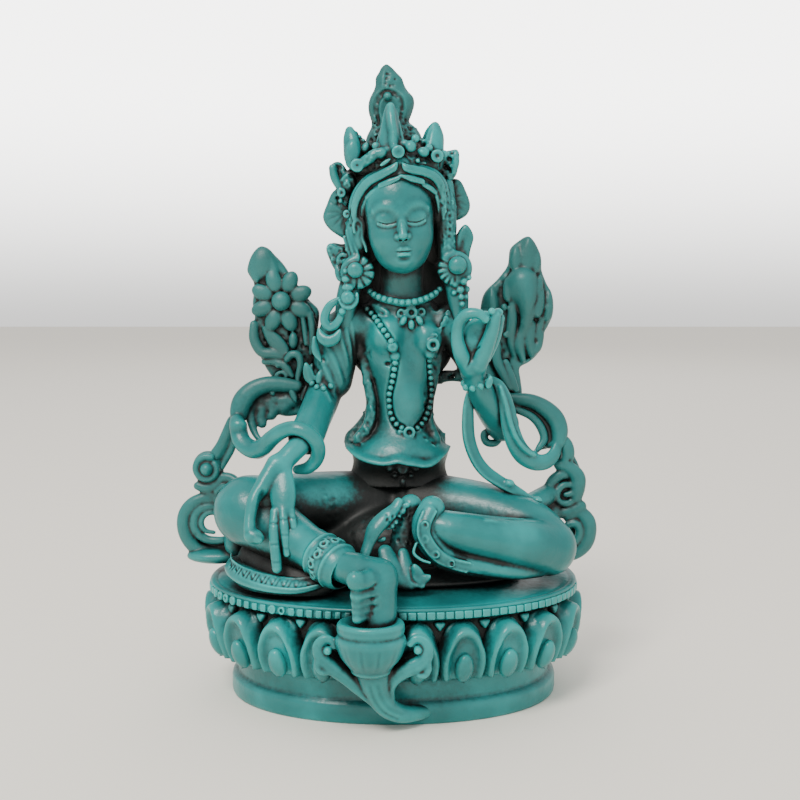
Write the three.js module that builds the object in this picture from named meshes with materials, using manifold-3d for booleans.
// A seated tara in cast resin on an oval double lotus plinth, one piece throughout.
// Millimetres, Z up. The figure faces -Y and +X is on the viewer's right. The origin is the
// middle of the underside.
import * as THREE from 'three';
import { mergeVertices } from 'three/addons/utils/BufferGeometryUtils.js';
import Module from 'manifold-3d';

// Driving sizes of the figure and the plinth
const figureHeight = 112;
const plinthHeight = 28;
const plinthWidth = 83;
const plinthDepth = 58.6;
const planSquareness = 2.15;

// Slab and second tier at the foot of the plinth
const slabWidth = 73.6;
const slabHeight = 4.6;
const tierWidth = 70.8;
const tierHeight = 5.6;
const edgeRound = 0.6;

// Belt of lotus petals between the tier and the rim
const petalCount = 22;
const petalBulge = 1.6;
const beltFootWidth = 74;
const beltCoreInset = 3;

// Rim that carries the bead line, and the domed seat on it
const rimHeight = 2.4;
const rimNeckHeight = 1.1;
const rimNeckInset = 2.4;
const seatDome = 2.2;

// Small lotus under the hanging foot
const cupRadius = 6.9;
const cupHeight = 10.5;
const cupDrop = 3.4;
const cupReach = 34.4;
const stemRadius = 1.9;

// How finely the round forms are faceted
const planSides = 36;
const petalFacets = 4;

// Shortest edge kept in the joined skin, and how straight (cosine) the faces round it must stay.
// Faces smaller than the sliver area may turn further, down to the loose cosine.
const shortestEdge = 0.6;
const straightCosine = 0.9;
const sliverArea = 0.02;
const looseCosine = -0.2;

const resin = new THREE.MeshStandardMaterial({ color: 0x2f9e96, roughness: 0.38, metalness: 0 });

const share = figureHeight / 100;
const depthRatio = plinthDepth / plinthWidth;
const wasm = await Module();
wasm.setup();

// A place on the figure, in hundredths of its height above the seat
function at(x, y, z) {
  return new THREE.Vector3(x * share, y * share, plinthHeight + z * share);
}

// Turns a closed geometry into a solid that can be joined or cut
function solid(geometry) {
  const bare = geometry.clone();
  bare.deleteAttribute('normal');
  bare.deleteAttribute('uv');
  const merged = mergeVertices(bare, 1e-4);
  const positions = merged.attributes.position.array;
  const vertProperties = new Float32Array(positions);
  const triVerts = [];
  const index = merged.index.array;
  for (let i = 0; i < index.length; i += 3) {
    const [a, b, c] = [index[i], index[i + 1], index[i + 2]];
    if (a !== b && b !== c && a !== c) {
      triVerts.push(a, b, c);
    }
  }
  const mesh = new wasm.Mesh({ numProp: 3, vertProperties, triVerts: new Uint32Array(triVerts) });
  return new wasm.Manifold(mesh);
}

// Joins a list of solids into one
function joined(solids) {
  return solids.reduce((whole, piece) => whole.add(piece));
}

// A closed skin through rings that all have the same number of points, with a point at each end
function skin(rings, first, last) {
  const sides = rings[0].length;
  const positions = [first.x, first.y, first.z];
  rings.forEach((ring) => ring.forEach((p) => positions.push(p.x, p.y, p.z)));
  positions.push(last.x, last.y, last.z);
  const lastIndex = positions.length / 3 - 1;
  const index = [];
  for (let i = 0; i < sides; i += 1) {
    const j = (i + 1) % sides;
    index.push(0, 1 + j, 1 + i);
    for (let r = 0; r + 1 < rings.length; r += 1) {
      const low = 1 + r * sides;
      const high = low + sides;
      index.push(low + i, low + j, high + j, low + i, high + j, high + i);
    }
    const top = 1 + (rings.length - 1) * sides;
    index.push(lastIndex, top + i, top + j);
  }
  const geometry = new THREE.BufferGeometry();
  geometry.setAttribute('position', new THREE.Float32BufferAttribute(positions, 3));
  geometry.setIndex(index);
  return geometry;
}

// Carries a section along a smooth line. Each station is [x, y, z, size] on the figure, and the
// section gives points [across, through] for a size. With a facing direction the section's second
// axis stays near it, and without one the section turns as little as it can.
function swept(stations, section, { rows = 6, facing = null, bulge = [0.4, 0.4] } = {}) {
  const curve = new THREE.CatmullRomCurve3(stations.map(([x, y, z]) => at(x, y, z)), false, 'centripetal');
  const sizeAt = (t) => {
    const place = t * (stations.length - 1);
    const low = Math.min(Math.floor(place), stations.length - 2);
    return THREE.MathUtils.lerp(stations[low][3], stations[low + 1][3], place - low) * share;
  };
  let through = (facing ?? new THREE.Vector3(0.31, -0.83, 0.47)).clone().normalize();
  const rings = [];
  for (let row = 0; row <= rows; row += 1) {
    const t = row / rows;
    const tangent = curve.getTangent(t);
    const across = new THREE.Vector3().crossVectors(facing ?? through, tangent).normalize();
    through = new THREE.Vector3().crossVectors(tangent, across).normalize();
    const centre = curve.getPoint(t);
    rings.push(section(sizeAt(t), t).map(([a, b]) => centre.clone()
      .addScaledVector(across, a)
      .addScaledVector(through, b)));
  }
  const first = curve.getPoint(0).addScaledVector(curve.getTangent(0), -sizeAt(0) * bulge[0]);
  const last = curve.getPoint(1).addScaledVector(curve.getTangent(1), sizeAt(1) * bulge[1]);
  return solid(skin(rings, first, last));
}

// A round section with a number of sides, squashed through its thickness where asked
function round(sides, flatness = 1) {
  const angles = Array.from({ length: sides }, (_, i) => (i / sides) * 2 * Math.PI);
  return (size) => angles.map((angle) => [size * Math.cos(angle), size * flatness * Math.sin(angle)]);
}

// A strap's section: flat back, raised edges and a shallow groove along the front
function grooved(thickness) {
  return (size) => {
    const half = thickness * share;
    return [[size, 0], [size * 0.66, half], [0, half * 0.45], [-size * 0.66, half],
      [-size, 0], [-size * 0.7, -half], [size * 0.7, -half]];
  };
}

// A limb, finger or tress of round section
function limb(stations, options = {}) {
  return swept(stations, round(options.sides ?? 7, options.flatness), options);
}

// A scarf that lies in the plane of the figure's back
function scarf(stations, options = {}) {
  return swept(stations, grooved(options.thickness ?? 1.9),
    { facing: new THREE.Vector3(0, -1, 0), ...options });
}

// An egg-shaped mass at a place on the figure, turned in degrees about X, Y and Z
function mass([x, y, z], [rx, ry, rz], { sides = 10, rows = 6, turn = [0, 0, 0] } = {}) {
  const geometry = new THREE.SphereGeometry(1, sides, rows);
  const [ax, ay, az] = turn.map(THREE.MathUtils.degToRad);
  geometry.rotateX(Math.PI / 2);
  geometry.scale(rx * share, ry * share, rz * share);
  geometry.rotateX(ax).rotateY(ay).rotateZ(az);
  const centre = at(x, y, z);
  geometry.translate(centre.x, centre.y, centre.z);
  return solid(geometry);
}

// A pointed leaf from its foot to its tip, with a ridge on both faces
function leaf(foot, tip, width, thickness = 1, facing = new THREE.Vector3(0, -1, 0)) {
  const middle = foot.map((value, i) => (value + tip[i]) / 2);
  const end = foot.map((value, i) => value + (tip[i] - value) * 0.86);
  const half = width / 2;
  const section = (size) => {
    const deep = Math.min(size, half * share) * (thickness / half);
    return [[size, 0], [0, deep], [-size, 0], [0, -deep]];
  };
  return swept([[...foot, half * 0.6], [...middle, half], [...end, half * 0.42]], section,
    { rows: 2, facing, bulge: [0.2, 1.6] });
}

// A flat carved plate with a smooth outline of [x, z] points on the figure
function plate(outline, y, thickness, points) {
  const curve = new THREE.SplineCurve([...outline, outline[0]]
    .map(([x, z]) => new THREE.Vector2(x * share, z * share)));
  const shape = new THREE.Shape(curve.getPoints(points).slice(0, -1));
  const round = 0.7 * share;
  const geometry = new THREE.ExtrudeGeometry(shape, {
    depth: thickness * share - 2 * round,
    bevelThickness: round,
    bevelSize: round,
    bevelOffset: -round,
    bevelSegments: 1,
    steps: 1,
  });
  geometry.rotateX(Math.PI / 2);
  geometry.translate(0, (y + thickness / 2) * share - round, plinthHeight);
  return solid(geometry);
}

// Stations on a curl that winds from one radius and angle to another round a centre
function curl([x, z], y, [startRadius, endRadius], [startAngle, endAngle], [startSize, endSize], count) {
  return Array.from({ length: count }, (_, i) => {
    const t = i / (count - 1);
    const radius = THREE.MathUtils.lerp(startRadius, endRadius, t);
    const angle = THREE.MathUtils.degToRad(THREE.MathUtils.lerp(startAngle, endAngle, t));
    const size = THREE.MathUtils.lerp(startSize, endSize, t);
    return [x + radius * Math.cos(angle), y, z + radius * Math.sin(angle), size];
  });
}

// A point on the plinth's plan for an angle and a half width, as a rounded oval
function planPoint(angle, halfWidth) {
  const [c, s] = [Math.cos(angle), Math.sin(angle)];
  const reach = (Math.abs(c) ** planSquareness + Math.abs(s) ** planSquareness) ** (-1 / planSquareness);
  return new THREE.Vector2(c * reach * halfWidth, s * reach * halfWidth * depthRatio);
}

// Angles that divide the plan's outline into equal lengths
function evenAngles(count, halfWidth) {
  const fine = 720;
  const lengths = [0];
  for (let i = 1; i <= fine; i += 1) {
    const before = planPoint(((i - 1) / fine) * 2 * Math.PI, halfWidth);
    const after = planPoint((i / fine) * 2 * Math.PI, halfWidth);
    lengths.push(lengths[i - 1] + before.distanceTo(after));
  }
  return Array.from({ length: count }, (_, k) => {
    const wanted = ((k + 0.5) / count) * lengths[fine];
    const i = lengths.findIndex((length) => length >= wanted);
    return (i / fine) * 2 * Math.PI - Math.PI / 2;
  });
}

// A closed form turned on the oval plan from [half width, height] points, from axis to axis
function turned(profile, sides) {
  const geometry = new THREE.LatheGeometry(profile.map(([r, z]) => new THREE.Vector2(r, z)), sides);
  geometry.rotateX(Math.PI / 2);
  const position = geometry.attributes.position;
  for (let i = 0; i < position.count; i += 1) {
    const radius = Math.hypot(position.getX(i), position.getY(i));
    if (radius > 0) {
      const point = planPoint(Math.atan2(position.getY(i), position.getX(i)), radius);
      position.setXY(i, point.x, point.y);
    }
  }
  return solid(geometry);
}

// The slab and second tier below, the rim and domed seat above, and the core between them
function plinthBody() {
  const rimTop = plinthHeight - seatDome;
  const rimFoot = rimTop - rimHeight;
  const beltTop = rimFoot - rimNeckHeight;
  const tierTop = slabHeight + tierHeight;
  const half = plinthWidth / 2;
  return turned([
    [0, 0],
    [slabWidth / 2, 0],
    [slabWidth / 2, slabHeight - edgeRound],
    [tierWidth / 2, slabHeight + edgeRound],
    [tierWidth / 2, tierTop - edgeRound],
    [beltFootWidth / 2 - beltCoreInset, tierTop],
    [half - beltCoreInset, beltTop - edgeRound],
    [half - rimNeckInset, beltTop + rimNeckHeight / 2],
    [half, rimFoot],
    [half, rimTop - edgeRound],
    [half - edgeRound, rimTop],
    [0, plinthHeight],
  ], planSides);
}

// Belt of rounded lotus petals, each a bulging lobe with a raised boss, on the oval plan
function plinthBelt() {
  const beltTop = plinthHeight - seatDome - rimHeight - rimNeckHeight;
  const beltFoot = slabHeight + tierHeight;
  const half = plinthWidth / 2;
  const spots = evenAngles(petalCount * petalFacets, half);
  // Height share, half width of the belt there, how far petals stand out at their edge and middle
  const levels = [
    [0, beltFootWidth / 2 - petalBulge * 0.6, 0, 0],
    [0.14, beltFootWidth / 2, 0.1, 1.5],
    [0.42, half - petalBulge, 0.2, 2],
    [0.68, half - petalBulge, 0, 1.25],
    [1, half - petalBulge * 1.5, -0.4, 0.2],
  ];
  const rings = levels.map(([height, reach, edge, middle]) => spots.map((angle, i) => {
    const place = Math.abs((i % petalFacets) - petalFacets / 2) / (petalFacets / 2);
    const proud = THREE.MathUtils.lerp(middle, edge, place ** 1.5) * petalBulge;
    const point = planPoint(angle, reach + proud);
    return new THREE.Vector3(point.x, point.y, THREE.MathUtils.lerp(beltFoot, beltTop, height));
  }));
  return solid(skin(rings, new THREE.Vector3(0, 0, beltFoot), new THREE.Vector3(0, 0, beltTop)));
}

// Lotus cup under the foot, its stem down to the slab and a leaf scroll on each side
function footLotus() {
  const top = plinthHeight - cupDrop;
  const [cx, cy] = [-3.9 * share, -cupReach];
  const profile = [
    [0, top - cupHeight],
    [cupRadius * 0.62, top - cupHeight],
    [cupRadius * 0.8, top - cupHeight * 0.78],
    [cupRadius * 0.74, top - cupHeight * 0.42],
    [cupRadius, top],
    [cupRadius * 0.84, top + 0.3],
    [cupRadius * 0.7, top - 1.4],
    [0, top - 1.6],
  ];
  const cup = new THREE.LatheGeometry(profile.map(([r, z]) => new THREE.Vector2(r, z)), 12);
  cup.rotateX(Math.PI / 2);
  cup.scale(1, 0.86, 1);
  cup.translate(cx, cy, 0);
  const station = (x, y, z, size) => [x / share, y / share, (z - plinthHeight) / share, size / share];
  const slabFront = (slabWidth / 2) * depthRatio;
  const low = slabHeight * 0.64;
  const stem = limb([
    station(cx, cy, top - cupHeight + 1, stemRadius * 1.5),
    station(cx + 0.8, cy + 2, top - cupHeight - 3.4, stemRadius),
    station(cx + 2.8, (cy - slabFront) / 2, top - cupHeight - 7, stemRadius * 0.95),
    station(cx + 6.8, -slabFront - 0.4, low, stemRadius * 1.25),
    station(cx + 8.6, -slabFront + 2.5, low, stemRadius * 1.4),
  ], { sides: 6, rows: 5 });
  const scroll = (side, spread, rise) => limb([
    station(cx + side * (spread - 1.6), cy + 1.5, top - 4.2, stemRadius * 0.55),
    station(cx + side * (spread + 1.2), cy + 1.7, top - 2.6, stemRadius * 0.7),
    station(cx + side * (spread + 1.6), cy + 2.2, top - 6, stemRadius),
    station(cx + side * (spread - 0.8), cy + 2.4, top - rise * 0.72, stemRadius * 1.25),
    station(cx + side * spread * 0.5, cy + 2.4, top - rise, stemRadius),
    station(cx, cy + 2, top - rise - 1, stemRadius * 0.6),
  ], { sides: 6, rows: 6 });
  const bridge = limb([
    station(cx, cy, top - cupHeight * 0.5, cupRadius * 0.6),
    station(cx, (-plinthWidth / 2) * depthRatio + 4, top - cupHeight * 0.5, cupRadius * 0.6),
  ], { sides: 6, rows: 1 });
  return joined([solid(cup), stem, scroll(-1, 9.6, 13.2), scroll(1, 9.2, 12.6), bridge]);
}

// Sections of the body from the seat to the jaw: height, middle x and y, half width and half depth
const bodySections = [
  [3, 0.6, 1.5, 13.5, 10.5],
  [13, 0.9, 2.2, 12.6, 8.6],
  [21.8, 1.1, 3.4, 9.9, 6.6],
  [25.6, 1.65, 3.6, 7.4, 5.6],
  [29.7, 2.45, 3.8, 6.0, 4.8],
  [35, 2.45, 3.7, 6.6, 4.9],
  [43.4, 1.7, 3.3, 8.1, 5.5],
  [49.4, 1.6, 3.8, 9.2, 4.8],
  [52.8, 1.4, 4.0, 6.6, 3.7],
  [54.6, 1.6, 3.6, 4.3, 3.3],
  [62, 1.8, 2.6, 3.9, 3.3],
];
const breasts = [[-0.8, -0.4, 45.2], [6.6, -0.4, 45.6]];
const breastSize = [3.9, 3.0, 4.0];

// How far forward the body's skin lies at a place on its front
function bodyFront(x, z) {
  const above = Math.max(1, bodySections.findIndex(([height]) => height >= z));
  const [low, high] = [bodySections[above - 1], bodySections[above]];
  const t = (z - low[0]) / (high[0] - low[0]);
  const [, cx, cy, a, b] = low.map((value, i) => THREE.MathUtils.lerp(value, high[i], t));
  const skinAt = cy - b * Math.sqrt(Math.max(0, 1 - ((x - cx) / a) ** 2));
  const [rx, ry, rz] = breastSize;
  return breasts.reduce((front, [bx, by, bz]) => {
    const rest = 1 - ((x - bx) / rx) ** 2 - ((z - bz) / rz) ** 2;
    return rest > 0 ? Math.min(front, by - ry * Math.sqrt(rest)) : front;
  }, skinAt);
}

// Hips, waist, chest and neck as one smooth body, with the belly cloth and the two bead strings
function torso() {
  const sides = 12;
  const rings = bodySections.map(([z, cx, cy, a, b]) => Array.from({ length: sides }, (_, i) => {
    const angle = (i / sides) * 2 * Math.PI;
    return at(cx + a * Math.cos(angle), cy + b * Math.sin(angle), z);
  }));
  const beads = (line, size, rows) => limb(line.map(([x, z]) => [x, bodyFront(x, z), z, size]),
    { sides: 5, rows, bulge: [0.2, 0.2] });
  return joined([
    solid(skin(rings, at(0.6, 1.5, 2), at(1.8, 2.4, 63))),
    ...breasts.map((place) => mass(place, breastSize, { sides: 8, rows: 5 })),
    mass([1.1, 2.6, 22.6], [10.4, 7.4, 1.7], { sides: 12, rows: 3 }),
    mass([1.9, -3.6, 19.4], [2.0, 1.3, 2.4], { sides: 6, rows: 3 }),
    limb([[-3.2, 6.4, 41, 1.8], [-3.6, 6.6, 34, 2.0], [-5.4, 6.2, 28.6, 2.2], [-8.2, 5, 25.4, 1.5]],
      { sides: 6, rows: 4 }),
    limb([[6.6, 6.2, 37, 1.5], [11.4, 5.8, 37.9, 1.2], [17.4, 4.8, 37.4, 1.2]], { sides: 5, rows: 3 }),
    beads([[-3.4, 53.6], [0.2, 52.4], [3.6, 52.2], [7.2, 53.4]], 0.75, 6),
    mass([3.9, bodyFront(3.9, 50.6), 50.6], [1.3, 0.9, 1.9], { sides: 6, rows: 3 }),
    beads([[-5.4, 51.2], [-1.3, 45.9], [0.5, 40.2], [-0.9, 34.2], [0.2, 29.2], [3.3, 27.4], [6.2, 29.6],
      [7.4, 35.6], [7.2, 42.3], [9.2, 47.4], [10, 50]], 0.6, 16),
  ]);
}

// Both legs, the trouser hems, the feet and the cloth under them
function legs() {
  const rightThigh = limb([[-5, 4, 11.5, 7], [-16, -0.5, 13, 6.2], [-27.6, -6.6, 14.8, 6.9]],
    { sides: 7, rows: 3, bulge: [0.2, 0.7] });
  const rightShin = limb([[-28.0, -6.8, 14.6, 6.9], [-22.6, -11.4, 10.6, 6.3], [-15.8, -17, 7.3, 4.1],
    [-11.6, -21, 5.8, 3.1]], { sides: 7, rows: 4, bulge: [0.6, 0.2] });
  const rightHem = limb([[-13.7, -19, 6.7, 3.9], [-10.9, -21.8, 5.4, 3.7]],
    { sides: 7, rows: 1, bulge: [0.1, 0.1] });
  const rightFoot = limb([[-11.5, -21.2, 5.6, 2.6], [-6.4, -25.6, 4.4, 3.3], [-3.0, -28.3, 2.2, 3.7],
    [-2.5, -29.4, -2.6, 3.0]], { sides: 6, rows: 4 });
  const rightToes = [[3.3, 2.0], [1.0, 1.35], [-0.5, 1.25], [-1.9, 1.2],
    [-3.1, 1.05]].map(([z, size]) => limb(
    [[-4.4, -27.6, z, size], [-6.0, -32.4, z - 0.3, size]], { sides: 5, rows: 1, bulge: [0.2, 0.7] }));
  const leftThigh = limb([[5, 3.5, 11.5, 7], [18.6, -1.4, 11, 5.8], [27, -5.8, 8.6, 5.6],
    [30.6, -8.2, 5.8, 5.2]],
    { sides: 7, rows: 4, bulge: [0.2, 0.6] });
  const leftShin = limb([[30.3, -8.8, 5.4, 5.4], [25.6, -12.4, 6.8, 5.0], [18.5, -15.2, 9.2, 4.1],
    [10.5, -16.8, 11.7, 2.6]],
    { sides: 7, rows: 4, bulge: [0.6, 0.2] });
  const leftHem = swept([[5.6, -16.4, 14.8, 1.5], [5.2, -17.2, 11.4, 1.6], [6.2, -18.2, 8, 1.6],
    [8.6, -19, 5.2, 1.4]],
    round(5, 0.6), { rows: 4, facing: new THREE.Vector3(-0.35, -0.94, 0) });
  const leftFold = limb([[9, -17.6, 5.6, 1.4], [15.5, -17.2, 4.4, 2.1], [23.4, -15.6, 2.6, 1.5]],
    { sides: 6, rows: 3 });
  const leftFoot = limb([[7.5, -14, 11.6, 2.2], [1.4, -13.2, 13.4, 2.2], [-2.6, -15.4, 11.2, 2.7],
    [-5.4, -18.6, 6.6, 1.6]],
    { sides: 6, rows: 4, flatness: 0.8 });
  const leftToes = [[2.4, 14.0], [0.6, 11.9], [-1.2, 9.7]].map(([x, z], i) => mass(
    [x, -15.9 - i * 0.8, z - 0.6], [0.9, 1.4, 0.9], { sides: 5, rows: 3 }));
  const underCloth = mass([-0.5, -7, 0.4], [29.5, 15.5, 2.6], { sides: 14, rows: 3 });
  const frontCloth = mass([-15.5, -15.6, 0.3], [15.5, 8.8, 1.7], { sides: 10, rows: 3, turn: [0, 0, 12] });
  const lap = mass([0.4, -6, 7], [13.5, 10, 6.5], { sides: 10, rows: 4 });
  return joined([rightThigh, rightShin, rightHem, rightFoot, ...rightToes, leftThigh, leftShin, leftHem,
    leftFold, leftFoot, ...leftToes, underCloth, frontCloth, lap]);
}

// The arm that hangs down over the knee, with its sleeve, its armlet and its open hand
function loweredArm() {
  const upper = limb([[-8.4, 3.8, 48.8, 4.2], [-11.6, 4.6, 45, 3.9], [-12.9, 4.4, 39, 3.4],
    [-14.0, 2.4, 34.6, 3.6], [-15.8, -3.6, 30, 3.6], [-17.2, -8.4, 26.2, 4.2]],
    { sides: 8, rows: 6, bulge: [0.4, 0.1] });
  const sleeve = limb([[-10.6, 3.8, 46.8, 4.4], [-11.8, 3.6, 41, 4.3], [-12.3, 3.4, 36.8, 4.0]],
    { sides: 8, rows: 2, bulge: [0.3, 0.1] });
  const armlet = limb([[-14.9, 1.8, 37.6, 3.9], [-15.4, 1.2, 36.2, 3.9]],
    { sides: 8, rows: 1, bulge: [0, 0] });
  const wrist = limb([[-16.8, -7.4, 26.8, 2.7], [-19.4, -11.6, 23.8, 2.3], [-20.6, -13.4, 21.6, 2.9]],
    { sides: 7, rows: 2 });
  const palm = limb([[-20.2, -13, 22.4, 2.6], [-21.2, -15.2, 19.4, 3.2], [-20.9, -17, 15.6, 3.0]],
    { sides: 7, rows: 2, flatness: 0.5, facing: new THREE.Vector3(-0.2, -0.8, 0.5) });
  const thumb = limb([[-22.6, -14.2, 20.6, 1.4], [-24.9, -16.6, 17.4, 1.4], [-26, -18.3, 13.6, 1.3],
    [-25.6, -18.9, 11.4, 1.5]], { sides: 5, rows: 3, bulge: [0.3, 0.7] });
  const fingers = [
    [[-22.3, -16.6, 16.2, 1.3], [-22.6, -18.5, 12.4, 1.2], [-22, -19.4, 8.4, 1.2], [-21.6, -19.6, 5, 1.15]],
    [[-20.8, -16.8, 16.2, 1.2], [-20.4, -18.3, 11.4, 1.1], [-19.6, -18.7, 7.2, 1.05]],
    [[-19.2, -16.4, 16.4, 1.2], [-18.6, -17.6, 12.6, 1.05], [-17.8, -18, 9.4, 1.0]],
  ].map((stations) => limb(stations, { sides: 5, rows: 3, bulge: [0.3, 0.7] }));
  return joined([upper, sleeve, armlet, wrist, palm, thumb, ...fingers]);
}

// The raised arm with its hand closing finger on thumb in front of the shoulder
function raisedArm() {
  const upper = limb([[11, 3.8, 48.6, 4.1], [14.6, 4.6, 44, 3.7], [18.6, 4.4, 36, 3.2], [22, 2.4, 28.4, 3.2]],
    { sides: 8, rows: 4 });
  const fore = limb([[22.2, 1.6, 28, 3.2], [19.9, -2.2, 31.6, 2.9], [17.2, -5.6, 35.6, 2.5],
    [15.6, -7.4, 39, 2.2]],
    { sides: 8, rows: 3 });
  const bracelet = limb([[16.4, -6.5, 36.8, 2.9], [15.9, -7.0, 38, 2.9]],
    { sides: 8, rows: 1, bulge: [0, 0] });
  const palm = limb([[15.6, -7.4, 38.6, 2.2], [15.9, -8.6, 42.4, 2.7], [16.6, -9.2, 46.4, 2.7],
    [17, -9.4, 49, 1.9]],
    { sides: 7, rows: 3, flatness: 0.55, facing: new THREE.Vector3(0.1, -1, 0.1) });
  const first = limb([[15.2, -9.2, 40.6, 1.5], [12.6, -10.4, 44.2, 1.4], [11.9, -10.9, 48, 1.15],
    [12.9, -11.4, 51, 1.1], [15.2, -12, 51.9, 1.05], [17.4, -12.4, 51.4, 0.95]],
    { sides: 5, rows: 7, bulge: [0.3, 0.6] });
  const second = limb([[16.6, -9.2, 41.4, 1.7], [18, -10.6, 45.8, 1.5], [19.2, -11.2, 49, 1.2],
    [19.9, -11.6, 51.4, 0.9]],
    { sides: 5, rows: 3, bulge: [0.3, 0.6] });
  const third = limb([[17.6, -7.2, 41, 1.3], [19.4, -7.6, 46, 1.2], [19.8, -7.8, 49.6, 1.0]],
    { sides: 5, rows: 2 });
  const hollow = mass([15.6, -10.2, 47], [3.2, 1.0, 4.6], { sides: 7, rows: 4 });
  return joined([upper, fore, bracelet, palm, hollow, first, second, third]);
}

// Head, hair with its parted bands, ears, ear jewels and tresses
function head() {
  const pieces = [
    mass([1.6, 1.6, 69.6], [7.2, 7.0, 10.2], { sides: 10, rows: 5 }),
    mass([1.65, -2.0, 67.4], [6.1, 4.6, 8.2], { sides: 10, rows: 6 }),
    mass([1.65, -2.2, 63.6], [5.0, 4.2, 4.7], { sides: 10, rows: 5 }),
    mass([1.6, 4.0, 73], [8.7, 7.4, 10.2], { sides: 9, rows: 5 }),
    mass([1.6, 6.8, 62], [8.2, 4.4, 12], { sides: 8, rows: 5 }),
    mass([1.6, 6.4, 52.6], [11.4, 3.0, 10.4], { sides: 10, rows: 5 }),
    mass([1.6, 6.2, 44], [10.6, 2.8, 8.4], { sides: 8, rows: 4 }),
    limb([[1.62, -5.6, 69.4, 0.55], [1.62, -6.7, 66.2, 0.95]], { sides: 4, rows: 1, bulge: [0.8, 0.3] }),
  ];
  [-1, 1].forEach((side) => {
    const x = (offset) => 1.6 + side * offset;
    pieces.push(limb([[x(0.2), -5.6, 78.6, 1.3], [x(3.6), -4.9, 77.8, 1.35], [x(6.6), -3.0, 74.4, 1.4],
      [x(7.9), -1.4, 69, 1.5], [x(7.6), -0.4, 63, 1.8]], { sides: 6, rows: 5, bulge: [0, 0.3] }));
    pieces.push(limb([[x(7.2), 2.4, 63.4, 2.6], [x(9.0), 1.6, 57, 2.5], [x(10.2), 1.2, 51.4, 2.2],
      [x(11.4), 0.6, 46.2, 1.5]],
      { sides: 6, rows: 4 }));
    pieces.push(mass([x(9.6), -1.2, 60], [2.1, 1.8, 2.1], { sides: 6, rows: 3 }));
    pieces.push(mass([x(10.8), -1.4, 54.6], [2.2, 1.8, 2.2], { sides: 6, rows: 3 }));
    pieces.push(mass([x(7.0), -1.2, 58.4], [1.8, 1.6, 3.0], { sides: 6, rows: 3, turn: [0, side * 20, 0] }));
  });
  return joined(pieces);
}

// A ribbed fan that opens from a root between two angles, in the plane of the figure's back, or a
// whole rosette where the angles go all the way round
function fan([x, z], y, radius, [startAngle, endAngle], ribs) {
  const full = Math.abs(endAngle - startAngle) === 360;
  const arc = Array.from({ length: 2 * ribs + (full ? 0 : 1) }, (_, i) => {
    const angle = THREE.MathUtils.degToRad(THREE.MathUtils.lerp(startAngle, endAngle, i / (2 * ribs)));
    const reach = radius * (i % 2 === 0 ? 0.82 : 1);
    return { x: x + reach * Math.cos(angle), z: z + reach * Math.sin(angle), rib: i % 2 };
  });
  const middle = THREE.MathUtils.degToRad((startAngle + endAngle) / 2);
  const root = { x: x - 0.35 * radius * Math.cos(middle), z: z - 0.35 * radius * Math.sin(middle), rib: 0 };
  const outline = full ? arc : [root, ...arc];
  const turned = endAngle < startAngle ? outline.reverse() : outline;
  const edge = (depth) => turned.map((p) => at(p.x, y + depth - (depth < 0 ? 0.5 * p.rib : 0), p.z));
  return solid(skin([edge(1.2), edge(-0.9)], at(x, y + 1.5, z), at(x, y - 1.4, z)));
}

// Crown with five leaves and their jewels, the ribbed side fans and the topknot
function crown() {
  return joined([
    mass([1.0, 1.6, 79.8], [9.2, 7.6, 4.2], { sides: 12, rows: 4 }),
    mass([0.2, 3.9, 84.2], [5.9, 4.6, 5], { sides: 8, rows: 4 }),
    leaf([0.2, -5.0, 80], [-0.7, -2.2, 92], 5.2, 1.7),
    leaf([-6.6, -2.4, 79.6], [-8.4, -0.4, 87.6], 4.6, 1.6, new THREE.Vector3(-0.5, -0.85, 0)),
    leaf([8.0, -2.4, 81], [8.3, -0.4, 88.9], 4.6, 1.6, new THREE.Vector3(0.5, -0.85, 0)),
    leaf([-6.4, 2.4, 71], [-11.3, 2.4, 81.2], 5.4, 1.6),
    leaf([9.2, 2.4, 72], [12.4, 2.4, 83.4], 5.2, 1.6),
    leaf([-3.2, -3.6, 80.4], [-5.2, -2, 85.4], 3, 1.2),
    leaf([4.6, -3.6, 81], [5.6, -2, 86], 3, 1.2),
    swept([[-0.3, 3.6, 83, 5.2], [-0.6, 3.6, 88.8, 3.8], [-0.4, 3.6, 92.4, 4.6], [-0.4, 3.6, 95.6, 3.1],
      [-1.1, 3.6, 98.2, 1.8], [-1.2, 3.6, 99.3, 1.0]], round(8, 0.66),
    { rows: 7, facing: new THREE.Vector3(0, -1, 0), bulge: [0.2, 0.7] }),
    mass([1.2, -5.8, 81.6], [1.4, 1.6, 1.4], { sides: 6, rows: 3 }),
    mass([-6.8, -3.6, 79.6], [1.4, 1.6, 1.4], { sides: 6, rows: 3 }),
    mass([8.6, -3.6, 81.4], [1.4, 1.6, 1.4], { sides: 6, rows: 3 }),
    mass([1.6, 4.8, 68], [11.4, 2.6, 9.6], { sides: 10, rows: 4 }),
    fan([-8.2, 70.4], 4.4, 6.0, [122, 248], 4),
    fan([-7.8, 62.6], 4.4, 5.6, [140, 240], 3),
    fan([10.8, 72.2], 4.4, 4.8, [75, -50], 3),
    fan([10.6, 64.4], 4.4, 5.6, [50, -50], 3),
  ]);
}

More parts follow.
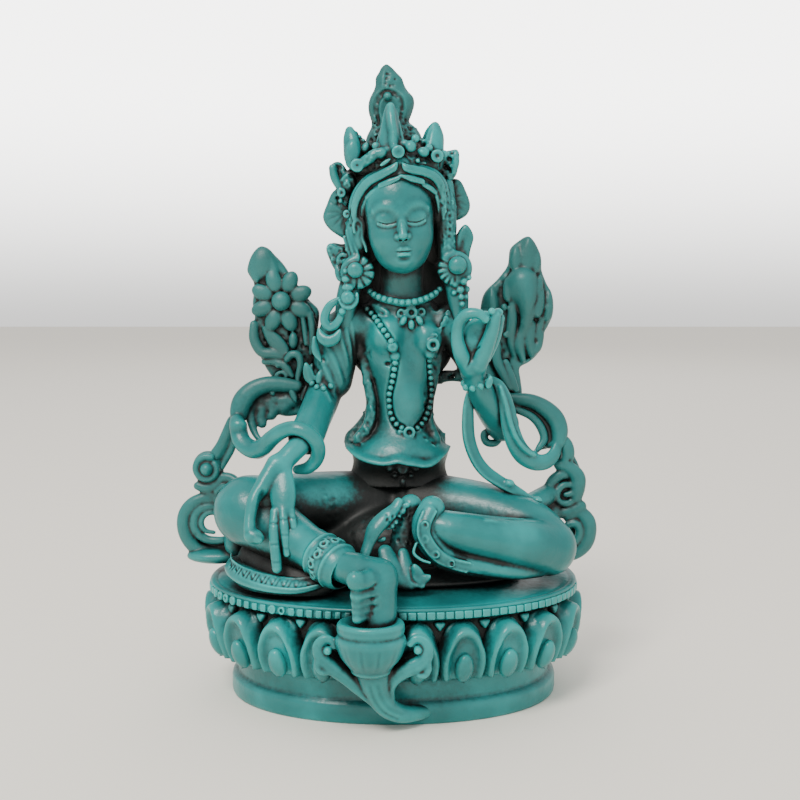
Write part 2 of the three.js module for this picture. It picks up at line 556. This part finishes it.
// The open lotus on its leafy spray, on the viewer's left
function openSpray() {
  const pieces = [
    plate([[-26.7, 64.2], [-28.3, 61.6], [-29.7, 59.2], [-28.2, 56.6], [-28.9, 53.4], [-28.2, 49.6],
      [-29.5, 46.6], [-27.4, 42.6], [-26, 37], [-22.6, 34.4], [-17.6, 36], [-15.6, 44], [-16, 50.8],
      [-17.4, 54], [-19.4, 57], [-21.4, 59.2], [-22.8, 61.4], [-24.6, 62.8]], 6.0, 2.6, 28),
    fan([-22.6, 53.2], 4.2, 5.9, [0, 360], 8),
    mass([-22.6, 2.8, 53.2], [2.1, 1.9, 2.1], { sides: 6, rows: 3 }),
  ];
  [[[-26, 58], [-27, 63.6], 3.6], [[-27, 43], [-28.4, 50], 2.8],
    [[-21, 38], [-20.4, 47.4], 3.4], [[-24.8, 36], [-25.6, 45], 3]]
    .forEach(([foot, tip, width]) => pieces.push(leaf([foot[0], 4.9, foot[1]], [tip[0], 4.4, tip[1]], width,
      1)));
  return joined(pieces);
}

// The closed lotus bud on its leafy spray, on the viewer's right
function budSpray() {
  return joined([
    plate([[27.4, 66.4], [25.2, 65.2], [23.5, 63], [23.4, 60], [21.6, 57], [18.4, 54], [18.6, 46], [20.4, 40],
      [21.4, 34.6], [26.4, 33.8], [26, 36.6], [26.2, 40], [29.4, 42], [31.6, 46], [32.1, 49.6], [32.5, 53],
      [30.4, 57.4], [29.7, 62], [28.8, 65]], 6.0, 2.6, 28),
    mass([26.2, 4.2, 53], [3.9, 2.4, 7.4], { sides: 8, rows: 5, turn: [0, -6, 0] }),
    leaf([25.6, 4.4, 58.6], [27.3, 4.6, 66], 3.6, 1.2),
    leaf([23.4, 4.4, 50], [21.2, 4.4, 57], 3, 1.1),
    leaf([29, 4.8, 46], [31.6, 4.8, 53], 2.8, 1),
    leaf([25, 4.6, 38], [29.6, 4.6, 44], 3.4, 1.1),
    leaf([22.6, 4.6, 36], [22, 4.6, 44], 3, 1.1),
  ]);
}

// Scarf on the viewer's left: a wide loop, the drape to the wrist and two scrolls down to the seat
function openScarf() {
  return joined([
    scarf([[-23.4, 4, 34.6, 2.4], [-27.4, 3.4, 33.4, 2.5], [-29.6, 2.6, 30.8, 2.5], [-30.2, 2, 28.4, 1.9]],
      { rows: 4 }),
    swept([[-32, 0.6, 30, 1.5], [-30.9, -1.4, 26.8, 1.8], [-28, -3.4, 25.2, 1.8], [-24.5, -6.2, 27, 1.8],
      [-21, -9, 29.3, 1.8], [-17.4, -9.4, 29.4, 1.6]],
    round(6, 0.6), { rows: 7, facing: new THREE.Vector3(0.2, -1, 0.5) }),
    scarf([[-31.4, 2.4, 30.6, 1.5], [-34.2, 3, 27, 1.9], [-35.6, 3, 23.4, 1.7], [-37.6, 3, 21, 1.6]],
      { rows: 4, thickness: 2.1 }),
    mass([-38.1, 3, 19.7], [3.1, 3.1, 2.2], { sides: 9, rows: 4, turn: [90, 0, 0] }),
    mass([-38.1, 1.6, 19.7], [1.5, 1.5, 1.6], { sides: 6, rows: 3, turn: [90, 0, 0] }),
    scarf([[-38.8, 3, 15.6, 1.7], [-36.6, 3, 16.2, 2.0], [-34.2, 3, 18.8, 2.0], [-32.4, 1.6, 17.4, 2.0],
      [-31, -0.4, 15, 2.0]], { rows: 5, thickness: 2.1 }),
    scarf(curl([-38.2, 7.9], 3, [4.2, 4.0], [60, 345], [2.1, 2.2], 8), { rows: 9, thickness: 2.1 }),
    limb([[-36.2, 3, 13, 2.1], [-33.2, 1, 8.6, 2.3], [-32, -1, 3, 2.6]], { sides: 6, rows: 2 }),
    mass([-36.4, 2, 2.2], [6.2, 3.4, 2.2], { sides: 8, rows: 3 }),
  ]);
}

// Scarf on the viewer's right: a wide loop, the drape of the raised arm and the scrolls by the knee
function budScarf() {
  return joined([
    scarf([[23.6, 4.6, 32.6, 2.2], [28.0, 4, 31.4, 2.7], [31.4, 3.2, 29.4, 2.9], [32.9, 2.4, 26.6, 2.8],
      [32.4, 1.6, 23.6, 1.8]],
      { rows: 5 }),
    swept([[18.6, -5.4, 38.2, 0.9], [20.6, -5.6, 34.6, 1.5], [22.9, -4.6, 29.4, 2.2], [25.2, -3.6, 24.8, 2.2],
      [28.6, -2.2, 22.2, 1.8], [31.6, 0, 22.4, 1.5]],
    round(6, 0.6), { rows: 6, facing: new THREE.Vector3(0.5, -1, 0) }),
    scarf([[32.6, 3, 25.4, 1.9], [34.2, 3, 21.8, 2.4], [36.2, 3, 19.0, 1.9], [36.8, 3, 15.8, 2.0],
      [36.0, 3, 12.4, 2.0], [37.6, 3, 9.8, 2.2], [38.5, 3, 6.6, 2.3], [37.4, 3, 3.4, 2.3],
      [33.6, 3, 1.8, 2.1]], { rows: 9, thickness: 2.1 }),
    mass([33.0, 3, 14], [3.3, 3.8, 2.2], { sides: 9, rows: 4, turn: [90, 0, 0] }),
    mass([32.6, 1.6, 13.8], [1.4, 1.8, 1.6], { sides: 6, rows: 3, turn: [90, 0, 0] }),
    limb([[32.4, 3, 10.6, 1.8], [29, 0, 6, 2.4]], { sides: 5, rows: 1 }),
    limb([[31.6, 2.6, 14.2, 2.2], [25, -3.6, 11.6, 2.6]], { sides: 6, rows: 1 }),
    swept([[15.9, -5.6, 37.4, 0.9], [14.9, -5, 32.4, 1.2], [15.1, -4.2, 26.4, 1.35], [17.0, -3.8, 22.2, 1.35],
      [21.6, -4.4, 18.4, 1.35], [27.6, -4.6, 15, 1.2]],
    round(6, 0.7), { rows: 6, facing: new THREE.Vector3(0.3, -1, 0.2) }),
  ]);
}

const figure = joined([torso(), legs(), loweredArm(), raisedArm(), head(), crown(), openSpray(), budSpray(),
  openScarf(), budScarf()]);
const plinth = joined([plinthBody(), plinthBelt(), footLotus()]);
const whole = plinth.add(figure);

// Draws the ends of very short edges together where that hardly bends the faces round them, so that
// the seams between joined forms leave no slivers
function withoutSlivers(points, faces) {
  const around = points.map(() => new Set());
  faces.forEach((face, i) => face.forEach((v) => around[v].add(i)));
  const normalOf = (face) => {
    const [a, b, c] = face.map((v) => points[v]);
    return new THREE.Vector3().crossVectors(b.clone().sub(a), c.clone().sub(a));
  };
  const neighbours = (v) => new Set([...around[v]].flatMap((i) => faces[i]).filter((w) => w !== v));
  const bendsLittle = (v, target) => [...around[v]].every((i) => {
    if (faces[i].includes(target)) {
      return true;
    }
    const before = normalOf(faces[i]);
    const after = normalOf(faces[i].map((w) => (w === v ? target : w)));
    const size = after.length();
    const limit = before.length() > sliverArea ? straightCosine : looseCosine;
    return size > 0 && before.dot(after) > limit * size * before.length();
  });
  let changed = true;
  while (changed) {
    changed = false;
    for (let v = 0; v < points.length; v += 1) {
      const near = neighbours(v);
      const gap = (other) => points[v].distanceTo(points[other]);
      const target = [...near].sort((a, b) => gap(a) - gap(b))[0];
      const closed = target !== undefined && [...neighbours(target)].filter((w) => near.has(w)).length === 2;
      if (closed && points[v].distanceTo(points[target]) < shortestEdge && bendsLittle(v, target)) {
        [...around[v]].forEach((i) => {
          const face = faces[i];
          face.forEach((w) => around[w].delete(i));
          faces[i] = face.includes(target) ? null : face.map((w) => (w === v ? target : w));
          faces[i]?.forEach((w) => around[w].add(i));
        });
        changed = true;
      }
    }
  }
  return faces.filter((face) => face);
}

// The finished casting as one mesh
function casting(manifold, name, material) {
  const mesh = manifold.getMesh();
  const points = Array.from({ length: mesh.vertProperties.length / 3 }, (_, i) => new THREE.Vector3()
    .fromArray(mesh.vertProperties, i * 3));
  const faces = Array.from({ length: mesh.triVerts.length / 3 }, (_, i) => Array.from(mesh.triVerts
    .slice(i * 3, i * 3 + 3)));
  const kept = withoutSlivers(points, faces);
  const geometry = new THREE.BufferGeometry();
  geometry.setAttribute('position',
    new THREE.BufferAttribute(new Float32Array(points.flatMap((p) => p.toArray())), 3));
  geometry.setIndex(kept.flat());
  const object = new THREE.Mesh(geometry, material);
  object.name = name;
  return object;
}

const part = new THREE.Group();
part.add(casting(whole, 'tara_figure', resin));
export default part;
